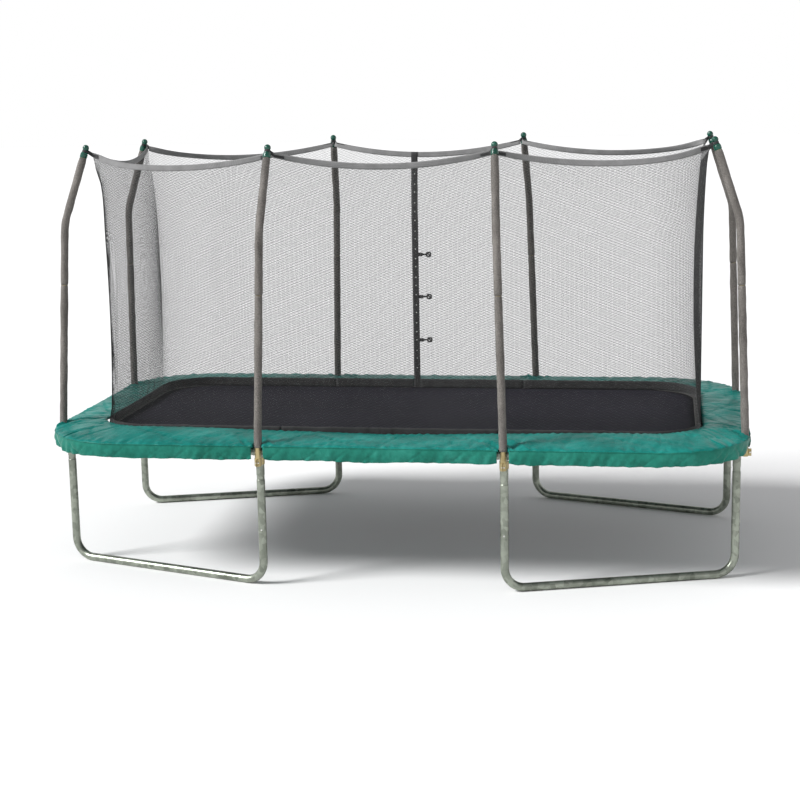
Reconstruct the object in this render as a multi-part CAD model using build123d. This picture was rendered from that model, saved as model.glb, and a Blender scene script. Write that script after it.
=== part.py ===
from build123d import *
import math
import os

# Rectangular garden trampoline with a net enclosure on eight padded poles.
# Millimetres, +Z up, origin on the ground under the centre.
# X runs along the long side, -Y is the front, and the net's door is on the back.

# --- frame ---
RAIL_X = 2120.0          # centre line of the end rails
RAIL_Y = 1182.0          # centre line of the long rails
RAIL_Z = 850.0
RAIL_CORNER_R = 405.0
TUBE_R = 25.4            # 2 inch galvanised tube
TUBE_WALL = 1.5
SIDE_LEG_X = 745.0       # leg uprights on the long sides
END_LEG_Y = 725.0        # leg uprights on the ends
SOCKET_R = 28.5
SOCKET_HALF = 50.0
STUB_BOTTOM = 700.0
LEG_JOINT_Z = 335.0
LEG_SHOULDER_Z = 672.0
NECK_R = 23.6            # swaged end that slides into the next tube
LEG_BEND_R = 125.0

# --- bed ---
MAT_X = 1924.5
MAT_Y = 930.0
MAT_CORNER_R = 400.0
MAT_Z = 870.0
MAT_T = 3.0
WEB_W = 50.0
SPRING_PITCH_LONG = 114.6
SPRING_PITCH_END = 107.5
CORNER_SPRINGS = 10, 26, 45, 64, 80   # directions of a corner's springs, degrees
SPRING_R = 8.0
SPRING_BODY = 130.0
WIRE_R = 1.75
HOOK_Z = 877.8
SPRING_Z = HOOK_Z - 6.5
RING_Z = 869.5
RING_T = 4.0

# --- spring pad ---
PAD_Z = 881.0
PAD_T = 19.0
PAD_IN = 1917.5, 885.0
PAD_IN_R = 345.0
PAD_OUT = 2198.0, 1260.0
PAD_OUT_R = 575.0
SKIRT_T = 3.0
SKIRT_BOTTOM = 800.0
NOTCH_R = 28.0

# --- poles ---
POLE_OFF = 48.0          # pole axis outside the leg axis
POLE_R = 19.0
POLE_BOTTOM = 765.0
POLE_KNEE_Z = 870.0
SLEEVE_R = 24.0
SLEEVE_BOTTOM = 880.0
POLE_JOINT_Z = 1800.0
POLE_BEND_Z = 2190.0
POLE_BEND_R = 420.0
CAP_Z = 2642.0
SIDE_CAP = 683.0, 995.0
END_CAP = 1968.0, 599.0
SIDE_BEND = 706.0, 1168.0
END_BEND = 2116.0, 632.0
CAP_LEN = 62.0

# --- net ---
NET_X = 1902.5
NET_Y = 868.0
NET_R = 325.0
NET_SEAM_Y = 520.0       # foot of the seams beside the end panels
NET_T = 2.0
NET_BOTTOM = 876.0
FOOT_H = 62.0            # closed band along the net's lower edge
NET_TOP = 2640.0
NET_SAG = 80.0
NET_INSET = 30.0         # hem corner inside the cap
FOOT_T = 3.0
HEM_H = 38.0
HEM_T = 3.6
HEM_BOW = 30.0
DOOR_X = -84.0
DOOR_W = 46.0
DOOR_T = 5.0
CLIP_Z = 1222.0, 1535.0, 1837.0

PARTS = "parts"
os.makedirs(PARTS, exist_ok=True)


def save(name, solids):
    """Write one node; a list becomes a group of separate solids."""
    if isinstance(solids, (list, tuple)):
        flat = []
        for item in solids:
            flat.extend(item.solids())
        shape = Compound(children=flat) if len(flat) > 1 else flat[0]
    else:
        shape = solids
    shape.label = name
    export_step(shape, os.path.join(PARTS, name + ".step"))


def ring_face(plane, outer, inner):
    return plane * (Circle(outer) - Circle(inner))


def tube_along(path, outer, inner):
    """Hollow tube swept along a path."""
    start = Plane(origin=path @ 0, z_dir=path % 0)
    body = sweep(start * Circle(outer), path=path, transition=Transition.RIGHT)
    hole = sweep(start * Circle(inner), path=path, transition=Transition.RIGHT)
    return body - hole


def cyl(p, q, r):
    """Round bar from p to q."""
    p, q = Vector(*p), Vector(*q)
    pl = Plane(origin=p, z_dir=q - p)
    return extrude(pl * Circle(r), (q - p).length)


def lathe(profile):
    """Solid of revolution about Z from (r, z) points."""
    face = make_face(Polyline([(r, 0, z) for r, z in profile], close=True))
    return revolve(face, Axis.Z)


# ------------------------------------------------------------------ stations
# Each upright: position of the leg axis, outward direction in plan (degrees).
LEGS = []
for sx in (-1, 1):
    for sy in (-1, 1):
        LEGS.append((sx, sy, "side", sx * SIDE_LEG_X, sy * RAIL_Y, 90.0 * sy))
        LEGS.append((sx, sy, "end", sx * RAIL_X, sy * END_LEG_Y, 0.0 if sx > 0 else 180.0))


def at_leg(leg, z=0.0):
    """Local frame at an upright: +X points out of the trampoline."""
    return Location((leg[3], leg[4], z), (0, 0, leg[5]))


def rounded_rect(hx, hy, r):
    return RectangleRounded(2 * hx, 2 * hy, r)


def outline_point(hx, hy, r, s):
    """Point on a rounded rectangle's first quadrant, s = 0 on the +Y side to 1 on the +X side."""
    a, b = hx - r, hy - r
    arc = r * math.pi / 2
    total = a + arc + b
    d = s * total
    if d <= a:
        return d, hy
    if d <= a + arc:
        t = (d - a) / r
        return a + r * math.sin(t), b + r * math.cos(t)
    return hx, hy - r - (d - a - arc)


# ---------------------------------------------------------------- leg bases
def leg_base(sx, sy):
    """U tube: two uprights and a ground tube across one corner of the frame."""
    p = Vector(sx * SIDE_LEG_X, sy * RAIL_Y, 0)
    q = Vector(sx * RAIL_X, sy * END_LEG_Y, 0)
    u = (q - p).normalized()
    up = Vector(0, 0, 1)
    g = up * TUBE_R
    top = up * (LEG_JOINT_Z - 0.2)
    r = LEG_BEND_R
    k = r * (1 - math.cos(math.pi / 4))
    a0, a1 = p + top, p + g + up * r
    a2, am = p + g + u * r, p + g + u * k + up * k
    b1, b2 = q + g - u * r, q + g + up * r
    bm, b3 = q + g - u * k + up * k, q + top
    path = Line(a0, a1) + ThreePointArc(a1, am, a2) + Line(a2, b1)
    path = path + ThreePointArc(b1, bm, b2) + Line(b2, b3)
    return tube_along(path, TUBE_R, TUBE_R - TUBE_WALL)


for sx, sy, name in ((-1, -1, "fl"), (1, -1, "fr"), (-1, 1, "bl"), (1, 1, "br")):
    save("leg_base_" + name, leg_base(sx, sy))

# -------------------------------------------------------------- leg uprights
upright = lathe([
    (22.1, 256), (NECK_R, 256), (NECK_R, LEG_JOINT_Z), (TUBE_R, LEG_JOINT_Z + 1.5),
    (TUBE_R, LEG_SHOULDER_Z - 4), (NECK_R, LEG_SHOULDER_Z), (NECK_R, 800), (22.1, 800),
])
save("leg_uprights", [at_leg(leg) * upright for leg in LEGS])

screw = cyl((TUBE_R, 0, 0), (TUBE_R + 3.0, 0, 0), 5.0)
save("leg_screws", [at_leg(leg, LEG_JOINT_Z + 22) * screw for leg in LEGS])

# ----------------------------------------------------------------- T-sockets
bar = cyl((0, -SOCKET_HALF, RAIL_Z), (0, SOCKET_HALF, RAIL_Z), SOCKET_R)
stub = cyl((0, 0, STUB_BOTTOM), (0, 0, RAIL_Z - 10), TUBE_R)
socket = bar + stub
socket -= cyl((0, -SOCKET_HALF - 1, RAIL_Z), (0, SOCKET_HALF + 1, RAIL_Z), TUBE_R + 0.3)
socket -= cyl((0, 0, STUB_BOTTOM - 1), (0, 0, 812), TUBE_R - TUBE_WALL)
save("t_sockets", [at_leg(leg) * socket for leg in LEGS])

socket_screw = cyl((0, 0, RAIL_Z - SOCKET_R - 2.6), (0, 0, RAIL_Z - SOCKET_R), 4.5)
save("socket_screws", [
    at_leg(leg) * Pos(0, dy, 0) * socket_screw for leg in LEGS for dy in (-38, 38)
])

# ----------------------------------------------------------- spring stations
# Each station: mat edge point, outward unit direction, distance to the rail centre line.
EDGE_GAP = RAIL_Y - MAT_Y


def stations():
    out = {"front": [], "back": [], "left": [], "right": [], "corner": []}
    for k in range(-13, 14):
        x = k * SPRING_PITCH_LONG
        out["front"].append((x, -MAT_Y, 0, -1, EDGE_GAP))
        out["back"].append((x, MAT_Y, 0, 1, EDGE_GAP))
    for k in range(-5, 6):
        y = k * SPRING_PITCH_END
        out["left"].append((-MAT_X, y, -1, 0, RAIL_X - MAT_X))
        out["right"].append((MAT_X, y, 1, 0, RAIL_X - MAT_X))
    cx, cy = MAT_X - MAT_CORNER_R, MAT_Y - MAT_CORNER_R
    ox, oy = RAIL_X - RAIL_CORNER_R, RAIL_Y - RAIL_CORNER_R
    for sx in (-1, 1):
        for sy in (-1, 1):
            for deg in CORNER_SPRINGS:
                ux, uy = math.cos(math.radians(deg)), math.sin(math.radians(deg))
                px, py = cx + MAT_CORNER_R * ux, cy + MAT_CORNER_R * uy
                wx, wy = px - ox, py - oy
                along = wx * ux + wy * uy
                span = -along + math.sqrt(along ** 2 - (wx * wx + wy * wy - RAIL_CORNER_R ** 2))
                out["corner"].append((sx * px, sy * py, sx * ux, sy * uy, span))
    return out


STATIONS = stations()
RING_OUT = 27.0        # reach of a V-ring past the mat's edge


def place(st, z=0.0):
    return Location((st[0], st[1], z), (0, 0, math.degrees(math.atan2(st[3], st[2]))))


# --------------------------------------------------------------- top rails
def slot(st):
    """Punched slot in the top of the rail for one spring hook."""
    return place(st, RAIL_Z + 20) * Pos(st[4], 0, 0) * Box(12, 7, 30)


def rail_straight(p, q):
    return cyl(p, q, TUBE_R) - cyl(p, q, TUBE_R - TUBE_WALL)


def punched(rail, sts):
    for st in sts:
        rail -= slot(st)
    return rail


for sy, name in ((-1, "front"), (1, "back")):
    rail = rail_straight((-SIDE_LEG_X + 1, sy * RAIL_Y, RAIL_Z), (SIDE_LEG_X - 1, sy * RAIL_Y, RAIL_Z))
    save("rail_" + name, punched(rail, [s for s in STATIONS[name] if abs(s[0]) < SIDE_LEG_X]))
for sx, name in ((-1, "left"), (1, "right")):
    rail = rail_straight((sx * RAIL_X, -END_LEG_Y + 1, RAIL_Z), (sx * RAIL_X, END_LEG_Y - 1, RAIL_Z))
    save("rail_" + name, punched(rail, STATIONS[name]))


def rail_corner(sx, sy):
    ox, oy, r = RAIL_X - RAIL_CORNER_R, RAIL_Y - RAIL_CORNER_R, RAIL_CORNER_R
    h = r * math.sqrt(0.5)
    a = Vector(sx * (SIDE_LEG_X + 1), sy * RAIL_Y, RAIL_Z)
    b = Vector(sx * ox, sy * RAIL_Y, RAIL_Z)
    m = Vector(sx * (ox + h), sy * (oy + h), RAIL_Z)
    c = Vector(sx * RAIL_X, sy * oy, RAIL_Z)
    d = Vector(sx * RAIL_X, sy * (END_LEG_Y + 1), RAIL_Z)
    path = Line(a, b) + ThreePointArc(b, m, c) + Line(c, d)
    rail = tube_along(path, TUBE_R, TUBE_R - TUBE_WALL)
    side = STATIONS["front"] if sy < 0 else STATIONS["back"]
    near = [s for s in side if s[0] * sx > SIDE_LEG_X]
    near += [s for s in STATIONS["corner"] if s[0] * sx > 0 and s[1] * sy > 0]
    return punched(rail, near)


save("rail_corners", [rail_corner(sx, sy) for sx in (-1, 1) for sy in (-1, 1)])


# ------------------------------------------------------------------ springs
def spring(span):
    """Extension spring along +X from the V-ring to the rail, close wound, with two hooks."""
    x0 = RING_OUT - 8.0
    x1 = span
    mid = (x0 + x1) / 2 + 2
    body = max(SPRING_BODY, span - 122.0)
    b0, b1 = mid - body / 2, mid + body / 2
    zc, zh = SPRING_Z, HOOK_Z
    ribs = 10
    step = body / ribs
    prof = [(5.2, b0)]
    for i in range(ribs):
        prof.append((SPRING_R - 0.9, b0 + i * step))
        prof.append((SPRING_R, b0 + (i + 0.5) * step))
    prof.append((SPRING_R - 0.9, b1))
    prof.append((5.2, b1))
    coil = make_face(Polyline([(x, 0, zc + r) for r, x in prof], close=True))
    coil = revolve(coil, Axis((0, 0, zc), (1, 0, 0)))
    hook = cyl((x0, 0, zh), (b0 + 6, 0, zh), WIRE_R) + cyl((x0, 0, zh), (x0, 0, 864.5), WIRE_R)
    tail = cyl((b1 - 6, 0, zh), (x1, 0, zh), WIRE_R) + cyl((x1, 0, zh), (x1, 0, 862), WIRE_R)
    for x in (x0, x1):
        hook += Pos(x, 0, zh) * Sphere(WIRE_R)
    return coil + hook + tail


SPRINGS = {}
for name, sts in STATIONS.items():
    made = []
    for st in sts:
        key = round(st[4], 1)
        if key not in SPRINGS:
            SPRINGS[key] = spring(st[4])
        made.append(place(st) * SPRINGS[key])
    save("springs_" + name, made)

# ------------------------------------------------------------- mat and rings
mat = extrude(rounded_rect(MAT_X - WEB_W, MAT_Y - WEB_W, MAT_CORNER_R - WEB_W), MAT_T)
save("mat", Pos(0, 0, MAT_Z) * mat)
web = rounded_rect(MAT_X, MAT_Y, MAT_CORNER_R)
web -= rounded_rect(MAT_X - WEB_W + 0.3, MAT_Y - WEB_W + 0.3, MAT_CORNER_R - WEB_W)
save("mat_webbing", Pos(0, 0, MAT_Z - 0.8) * extrude(web, MAT_T + 1.8))

tri = make_face(Polyline([(0.6, -19), (0.6, 19), (RING_OUT, 4.5), (RING_OUT, -4.5)], close=True))
hole = make_face(Polyline([(4.6, -13), (4.6, 13), (RING_OUT - 4.5, 2.6), (RING_OUT - 4.5, -2.6)], close=True))
v_ring = extrude(tri - hole, RING_T)
every = [st for sts in STATIONS.values() for st in sts]
save("v_rings", [place(st, RING_Z) * v_ring for st in every])

# --------------------------------------------------------------- spring pad
POLES = [at_leg(leg) * Pos(POLE_OFF, 0, 0) for leg in LEGS]


def notch(loc, z0, z1, r, mouth):
    """Clearance around a pole, open to the outside."""
    round_part = Pos(0, 0, z0) * extrude(Circle(r), z1 - z0)
    way_out = Pos(40, 0, (z0 + z1) / 2) * Box(80, mouth, z1 - z0)
    return loc * (round_part + way_out)


def quarter(name):
    """Plan region that one pad section fills, mitred at the corners."""
    e, d, far = 0.5, 640.0, 400.0
    X, Y = PAD_OUT[0] + far, PAD_OUT[1] + far
    if name in ("front", "back"):
        s = -1 if name == "front" else 1
        pts = [(-X + e, s * Y), (X - e, s * Y), (X - e - d - far, s * (Y - d - far)),
               (-X + e + d + far, s * (Y - d - far))]
    else:
        s = -1 if name == "left" else 1
        pts = [(s * X, -Y + e), (s * X, Y - e), (s * (X - d - far), Y - e - d - far),
               (s * (X - d - far), -Y + e + d + far)]
    return make_face(Polyline(pts, close=True))


pad_ring = rounded_rect(*PAD_OUT, PAD_OUT_R) - rounded_rect(*PAD_IN, PAD_IN_R)
skirt_ring = rounded_rect(*PAD_OUT, PAD_OUT_R)
skirt_ring -= rounded_rect(PAD_OUT[0] - SKIRT_T, PAD_OUT[1] - SKIRT_T, PAD_OUT_R - SKIRT_T)
for name in ("front", "back", "left", "right"):
    area = quarter(name)
    pad = Pos(0, 0, PAD_Z) * extrude(pad_ring & area, PAD_T)
    skirt = Pos(0, 0, SKIRT_BOTTOM) * extrude(skirt_ring & area, PAD_Z - SKIRT_BOTTOM)
    for loc in POLES:
        pad -= notch(loc, PAD_Z - 5, PAD_Z + PAD_T + 5, NOTCH_R, 2 * NOTCH_R)
        skirt -= notch(loc, SKIRT_BOTTOM - 5, PAD_Z + 5, NOTCH_R, 2 * NOTCH_R + 14)
    save("pad_" + name, pad.solids())
    save("skirt_" + name, skirt.solids())


# -------------------------------------------------------------------- poles
def pole_points(leg):
    """Foot, knee, bend corner and top of one pole."""
    sx, sy, kind = leg[0], leg[1], leg[2]
    foot = (at_leg(leg) * Pos(POLE_OFF, 0, POLE_BOTTOM)).position
    knee = Vector(foot.X, foot.Y, POLE_KNEE_Z)
    bend = SIDE_BEND if kind == "side" else END_BEND
    cap = SIDE_CAP if kind == "side" else END_CAP
    return foot, knee, Vector(sx * bend[0], sy * bend[1], POLE_BEND_Z), Vector(sx * cap[0], sy * cap[1], CAP_Z)


def along(p, q, z):
    return p + (q - p) * ((z - p.Z) / (q.Z - p.Z))


def upper_path(leg, start_z, end_short):
    """Straight, bent and straight again, stopping short of the cap."""
    foot, knee, bend, cap = pole_points(leg)
    u, v = (bend - knee).normalized(), (cap - bend).normalized()
    half = math.radians(u.get_angle(v)) / 2
    t = POLE_BEND_R * math.tan(half)
    a, b = bend - u * t, bend + v * t
    side = (v - u).normalized()
    m = bend + side * (POLE_BEND_R / math.cos(half) - POLE_BEND_R)
    end = cap - v * end_short
    return Line(along(knee, bend, start_z), a) + ThreePointArc(a, m, b) + Line(b, end), v, end


pole_lower, pole_upper, sleeve_lower, sleeve_upper = [], [], [], []
caps, cap_cups, TOPS = [], [], []
for leg in LEGS:
    foot, knee, bend, cap = pole_points(leg)
    joint = along(knee, bend, POLE_JOINT_Z)
    low = Line(foot, knee) + Line(knee, joint)
    pole_lower.append(tube_along(low, POLE_R, POLE_R - 1.5))
    path, v, end = upper_path(leg, POLE_JOINT_Z + 0.5, 16)
    neck_lo, neck_hi = along(knee, bend, 1725.0), along(knee, bend, 1815.0)
    upper = tube_along(path, POLE_R, POLE_R - 1.5)
    upper += cyl(along(knee, bend, POLE_JOINT_Z + 0.5), neck_hi, POLE_R)
    upper += cyl(neck_lo, neck_hi, POLE_R - 1.8)
    upper -= cyl(along(knee, bend, 1724.0), along(knee, bend, 1817.0), POLE_R - 3.2)
    pole_upper.append(upper)
    s0, s1 = along(knee, bend, SLEEVE_BOTTOM), along(knee, bend, POLE_JOINT_Z - 2)
    sleeve_lower.append(cyl(s0, s1, SLEEVE_R) - cyl(s0, s1, POLE_R + 0.4))
    path, v, _ = upper_path(leg, POLE_JOINT_Z, 42)
    sleeve_upper.append(tube_along(path, SLEEVE_R, POLE_R + 0.4))
    # cap: a cup over the tube end, a neck for the strap and a ball on top
    top = Plane(origin=cap, z_dir=v).location
    TOPS.append((leg, cap, v, top))
    cup = lathe([(POLE_R + 0.4, -40), (22.5, -40), (23.5, -34), (23.5, -16), (21, -12), (POLE_R + 0.4, -12)])
    ball_r = 20.5
    dome = [(0, -15.6), (POLE_R - 2, -15.6), (POLE_R - 2, -11.6), (21, -11.6), (21, -6), (14, -3), (14, 8), (17, 10)]
    for k in range(0, 8):
        ang = math.radians(-38 + k * 16)
        dome.append((ball_r * math.cos(ang), 24 + ball_r * math.sin(ang)))
    dome.append((0, 24 + ball_r))
    cap_cups.append(top * cup)
    caps.append(top * lathe(dome))

save("pole_lower", pole_lower)
save("pole_upper", pole_upper)
save("sleeve_lower", sleeve_lower)
save("sleeve_upper", sleeve_upper)
save("cap_balls", caps)
save("cap_cups", cap_cups)

# ------------------------------------------------------------------- clamps
CLAMP_LO, CLAMP_HI = 768.0, 812.0
ZM = (CLAMP_LO + CLAMP_HI) / 2
clamp = cyl((0, 0, CLAMP_LO), (0, 0, CLAMP_HI), TUBE_R + 3.2)
clamp += cyl((POLE_OFF, 0, CLAMP_LO), (POLE_OFF, 0, CLAMP_HI), POLE_R + 3.2)
clamp += Pos(POLE_OFF / 2, 0, ZM) * Box(POLE_OFF, 26, CLAMP_HI - CLAMP_LO)
clamp += Pos(POLE_OFF + POLE_R + 10, 0, ZM) * Box(18, 11, CLAMP_HI - CLAMP_LO)
clamp -= cyl((0, 0, CLAMP_LO - 1), (0, 0, CLAMP_HI + 1), TUBE_R + 0.3)
clamp -= cyl((POLE_OFF, 0, CLAMP_LO - 1), (POLE_OFF, 0, CLAMP_HI + 1), POLE_R + 0.3)
clamp -= Pos(POLE_OFF + POLE_R + 12, 0, ZM) * Box(30, 4, CLAMP_HI - CLAMP_LO + 2)
BX = POLE_OFF + POLE_R + 11
clamp -= cyl((BX, -10, ZM), (BX, 10, ZM), 3.3)
save("pole_clamps", [at_leg(leg) * clamp for leg in LEGS])
bolt = cyl((BX, -9, ZM), (BX, 13, ZM), 3.0)
bolt += extrude(Plane(origin=(BX, -5.6, ZM), z_dir=(0, -1, 0)) * RegularPolygon(5.5, 6), 4)
nut = extrude(Plane(origin=(BX, 5.6, ZM), z_dir=(0, 1, 0)) * (RegularPolygon(5.5, 6) - Circle(3.2)), 5)
save("clamp_bolts", [at_leg(leg) * bolt for leg in LEGS])
save("clamp_nuts", [at_leg(leg) * nut for leg in LEGS])


# ---------------------------------------------------------------------- net
# The net hangs from the caps inside the poles and comes down to the mat's edge.
def net_bottom(kind, s):
    """Plan point on the net's lower edge; s runs 0 to 1 across the panel."""
    a, b = NET_X - NET_R, NET_Y - NET_R
    arc = NET_R * math.pi / 2
    first, last = a - SIDE_CAP[0], b - NET_SEAM_Y
    if kind == "corner":
        d = s * (first + arc + last)
        if d <= first:
            return SIDE_CAP[0] + d, NET_Y
        if d <= first + arc:
            t = (d - first) / NET_R
            return a + NET_R * math.sin(t), b + NET_R * math.cos(t)
        return NET_X, b - (d - first - arc)
    if kind == "side":
        return -SIDE_CAP[0] + s * 2 * SIDE_CAP[0], NET_Y
    return NET_X, NET_SEAM_Y - s * 2 * NET_SEAM_Y


def hem_corner(cap):
    """Hem corner: the cap drawn in toward the middle of the net."""
    k = 1 - NET_INSET / math.hypot(*cap)
    return cap[0] * k, cap[1] * k


HEM_SIDE = hem_corner(SIDE_CAP)
HEM_END = hem_corner(END_CAP)


def net_top(kind, s):
    ends = {
        "corner": (HEM_SIDE, HEM_END),
        "side": ((-HEM_SIDE[0], HEM_SIDE[1]), HEM_SIDE),
        "end": (HEM_END, (HEM_END[0], -HEM_END[1])),
    }
    p, q = ends[kind]
    dx, dy = q[0] - p[0], q[1] - p[1]
    length = math.hypot(dx, dy)
    bow = HEM_BOW * 4 * s * (1 - s)
    return p[0] + dx * s + bow * dy / length, p[1] + dy * s - bow * dx / length


# (height, share of the way from the lower outline to the hem outline)
NET_LOW = NET_BOTTOM + FOOT_H + 0.3
LEVELS = ((NET_LOW, 0.0), (2080.0, 0.0), (2380.0, 0.32), (2660.0, 1.0))
FOOT_LEVELS = ((NET_BOTTOM, 0.0), (NET_BOTTOM + FOOT_H, 0.0))


def panel_wire(kind, z, w, thick, n, s0=0.0, s1=1.0):
    line = []
    for i in range(n + 1):
        s = s0 + (s1 - s0) * i / n
        b, t = net_bottom(kind, s), net_top(kind, s)
        line.append((b[0] + (t[0] - b[0]) * w, b[1] + (t[1] - b[1]) * w))
    normals = []
    for i in range(n + 1):
        p, q = line[max(i - 1, 0)], line[min(i + 1, n)]
        dx, dy = q[0] - p[0], q[1] - p[1]
        k = math.hypot(dx, dy)
        normals.append((-dy / k, dx / k))
    h = thick / 2
    out = [(p[0] + m[0] * h, p[1] + m[1] * h, z) for p, m in zip(line, normals)]
    back = [(p[0] - m[0] * h, p[1] - m[1] * h, z) for p, m in zip(line, normals)]
    return Polyline(out + back[::-1], close=True)


def panel_solid(kind, thick, s0=0.0, s1=1.0, levels=LEVELS):
    n = 14 if kind == "corner" else 6
    gap = 0.0012
    wires = [Wire(panel_wire(kind, z, w, thick, n, s0 + gap, s1 - gap).edges()) for z, w in levels]
    return Solid.make_loft(wires, ruled=True)


def hem_region(kind, lift):
    """Everything above the hem's sagging line, as a prism across the panel."""
    p, q = Vector(*net_top(kind, 0.0)), Vector(*net_top(kind, 1.0))
    u = (q - p).normalized()
    length = (q - p).length
    pts = [(-60, 3000), (-60, NET_TOP + lift)]
    n = 12
    for i in range(n + 1):
        s = i / n
        pts.append((s * length, NET_TOP + lift - NET_SAG * 4 * s * (1 - s)))
    pts += [(length + 60, NET_TOP + lift), (length + 60, 3000)]
    origin = Vector(p.X, p.Y, 0)
    pl = Plane(origin=origin, x_dir=Vector(u.X, u.Y, 0), z_dir=Vector(u.Y, -u.X, 0))
    face = pl * make_face(Polyline(pts, close=True))
    return extrude(face, 700, both=True)


def panels(kind, s0=0.0, s1=1.0):
    net = panel_solid(kind, NET_T, s0, s1) - hem_region(kind, -HEM_H)
    hem = panel_solid(kind, HEM_T, s0, s1) & hem_region(kind, -HEM_H)
    hem = hem - hem_region(kind, 0.0)
    return net, hem


door_s = (DOOR_X + SIDE_CAP[0]) / (2 * SIDE_CAP[0])
door_h = (DOOR_W / 2 + 0.4) / (2 * SIDE_CAP[0])
corner_net, corner_hem = panels("corner")
front_net, front_hem = panels("side")
end_net, end_hem = panels("end")
left_half, _ = panels("side", 0.0, door_s - door_h)
right_half, _ = panels("side", door_s + door_h, 1.0)
turn = Rot(0, 0, 180)
save("net_front", turn * front_net)
save("net_back_left", left_half)
save("net_back_right", right_half)
save("net_right", end_net)
save("net_left", turn * end_net)
flip_x = Plane.YZ
flip_y = Plane.XZ
save("net_corner_br", corner_net)
save("net_corner_bl", mirror(corner_net, about=flip_x))
save("net_corner_fr", mirror(corner_net, about=flip_y))
save("net_corner_fl", turn * corner_net)
hems = [front_hem, turn * front_hem, end_hem, turn * end_hem, corner_hem, turn * corner_hem]
hems += [mirror(corner_hem, about=flip_x), mirror(corner_hem, about=flip_y)]
save("net_hem", hems)

# Foot: a closed black band below the mesh, laced to the V-rings in life.
side_foot = panel_solid("side", FOOT_T, levels=FOOT_LEVELS)
foot_left = panel_solid("side", FOOT_T, 0.0, door_s - door_h, FOOT_LEVELS)
foot_right = panel_solid("side", FOOT_T, door_s + door_h, 1.0, FOOT_LEVELS)
end_foot = panel_solid("end", FOOT_T, levels=FOOT_LEVELS)
save("net_foot", [turn * side_foot, foot_left, foot_right, end_foot, turn * end_foot])
corner_foot = panel_solid("corner", FOOT_T, levels=FOOT_LEVELS)
feet = [corner_foot, turn * corner_foot]
feet += [mirror(corner_foot, about=flip_x), mirror(corner_foot, about=flip_y)]
save("net_foot_corners", feet)

# Door strip: the zip between the two halves of the back panel.
low = door_s - door_h + 0.0015
high = door_s + door_h - 0.0015
strip = panel_solid("side", DOOR_T, low, high, (FOOT_LEVELS[0],) + LEVELS[1:]) - hem_region("side", -HEM_H)
save("door_strip", strip)

# Straps: a loop round each cap's neck with two tails laid along the hem on both sides.
TAIL = 78.0


def hem_spot(kind, s, out):
    """Point on a panel's hem line in the first quadrant, moved outward by out."""
    p, q = Vector(*net_top(kind, 0.0)), Vector(*net_top(kind, 1.0))
    u = (q - p).normalized()
    here = Vector(*net_top(kind, s))
    return here.X - u.Y * out, here.Y + u.X * out


def tail_ends(kind):
    """Far ends of the two tails of a side or an end pole, first quadrant."""
    lengths = {"corner": math.dist(HEM_SIDE, HEM_END), "side": 2 * HEM_SIDE[0], "end": 2 * HEM_END[1]}
    if kind == "side":
        picks = (("side", 1 - TAIL / lengths["side"]), ("corner", TAIL / lengths["corner"]))
    else:
        picks = (("corner", 1 - TAIL / lengths["corner"]), ("end", TAIL / lengths["end"]))
    return [hem_spot(name, s, 5.0) for name, s in picks]


straps = []
for leg, cap, v, top in TOPS:
    sx, sy, kind = leg[0], leg[1], leg[2]
    hc = HEM_SIDE if kind == "side" else HEM_END
    flat = Vector(sx * hc[0] - cap.X, sy * hc[1] - cap.Y, 0).normalized()
    across = (flat - v * flat.dot(v)).normalized()
    loop = top * Pos(0, 0, 1) * extrude(Circle(17.5) - Circle(14.4), 6)
    lug = Plane(origin=cap + v * 4 + across * 15.5, x_dir=v, z_dir=across)
    loop += extrude(lug * Rectangle(5, 12), 11)
    start = cap + v * 4 + across * 26
    for x, y in tail_ends(kind):
        run = Vector(sx * x, sy * y, NET_TOP - 36) - start
        side = Vector(-run.Y, run.X, 0).normalized()
        pl = Plane(origin=start, x_dir=side, z_dir=run)
        loop += extrude(pl * Rectangle(2.4, 15), run.length)
    straps.append(loop)
save("cap_straps", straps)

# ------------------------------------------------------ zip slider and clips
yo = NET_Y + DOOR_T / 2
slider = Pos(DOOR_X, yo + 4.0, 960) * Box(14, 6, 26)
tab = Pos(DOOR_X, yo + 8.6, 941) * Box(9, 2.4, 38)
bridge = Pos(DOOR_X, yo + 7.6, 957) * Box(6, 3, 8)
save("zip_slider", slider + bridge + tab)

TAB_X = DOOR_X + 44.0
PIN_Y = yo + 9.0
tabs = []
for k, z in enumerate(CLIP_Z):
    web = Pos((DOOR_X + 10 + TAB_X - 9) / 2, yo + 1.5, z) * Box(TAB_X - 9 - DOOR_X - 10, 2.4, 24)
    ear_lo = Pos(TAB_X - 4, PIN_Y - 3, z - 10.5) * Box(18, 13, 3)
    ear_hi = Pos(TAB_X - 4, PIN_Y - 3, z + 10.5) * Box(18, 13, 3)
    post = Pos(TAB_X - 11.5, PIN_Y - 5.0, z) * Box(3, 9, 24)
    pin = cyl((TAB_X, PIN_Y, z - 10), (TAB_X, PIN_Y, z + 10), 2.0)
    tabs.append(web + post + ear_lo + ear_hi + pin)
    eye = cyl((TAB_X, PIN_Y, z - 8), (TAB_X, PIN_Y, z + 8), 8.0)
    body = Pos(TAB_X + 21, PIN_Y, z) * Box(28, 7, 9)
    hook = Pos(TAB_X + 50, PIN_Y, z) * Rot(90, 0, 0) * extrude(Circle(18) - Circle(10), 4, both=True)
    clip = eye + body + hook
    clip -= cyl((TAB_X, PIN_Y, z - 9), (TAB_X, PIN_Y, z + 9), 2.5)
    save("clip_" + str(k + 1), clip)
save("clip_tabs", tabs)
print("written", len(os.listdir(PARTS)))
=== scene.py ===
import bpy
import bmesh
import math
import numpy as np
from mathutils import Matrix, Vector


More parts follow.
